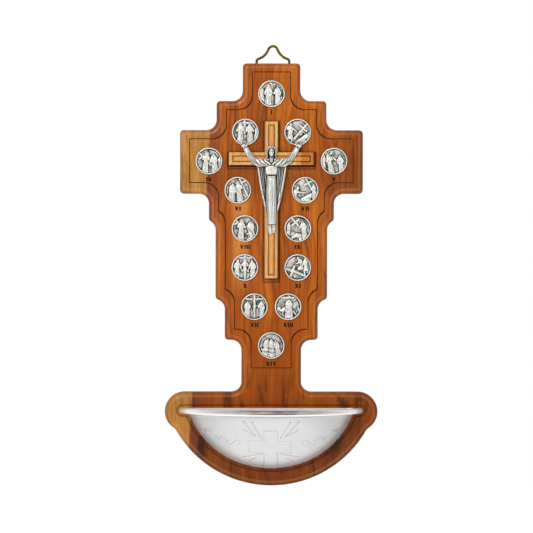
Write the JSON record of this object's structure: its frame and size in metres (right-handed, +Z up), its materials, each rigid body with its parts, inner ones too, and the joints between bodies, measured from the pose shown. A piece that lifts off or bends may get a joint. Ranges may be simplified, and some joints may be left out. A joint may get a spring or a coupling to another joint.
{
  "type": "holy water stoup",
  "caption": "Wall-hung holy water stoup: stepped olive-wood cross with station medals, a risen figure, a pressed metal basin and a folding hanging bail.",
  "frame": {"origin": "on the flat back face, on the centre line, level with the middle of the cross arms", "axes": "+X to the viewer's right seen from the front, +Y out of the back face into the wall, +Z up the board towards the hanger"},
  "size_m": [0.1236, 0.052, 0.2565],
  "materials": {
    "olive_wood": "satin varnish, dark grain",
    "pale_wood": "satin",
    "antique_silver": "antiqued silver, dark in the recesses",
    "basin_metal": "satin with a bright lip",
    "screw_steel": "satin",
    "hanger_brass": "antiqued"
  },
  "bodies": {
    "board": {"backboard": "olive_wood", "cross_overlay": "pale_wood", "medal_01": "antique_silver", "medal_02": "antique_silver", "medal_03": "antique_silver", "medal_04": "antique_silver", "medal_05": "antique_silver", "medal_06": "antique_silver", "medal_07": "antique_silver", "medal_08": "antique_silver", "medal_09": "antique_silver", "medal_10": "antique_silver", "medal_11": "antique_silver", "medal_12": "antique_silver", "medal_13": "antique_silver", "medal_14": "antique_silver", "risen_figure": "antique_silver", "water_basin": "basin_metal", "basin_screws": "screw_steel", "hanger_strap": "hanger_brass", "hanger_screws": "screw_steel"},
    "bail": {"hanger_bail": "hanger_brass"}
  },
  "joints": [
    {"name": "bail_fold", "type": "hinge", "parent": "board", "child": "bail", "pos_m": [0.0008, -0.00185, 0.048], "axis": [-1, 0, 0], "range_deg": [0, 178]}
  ]
}
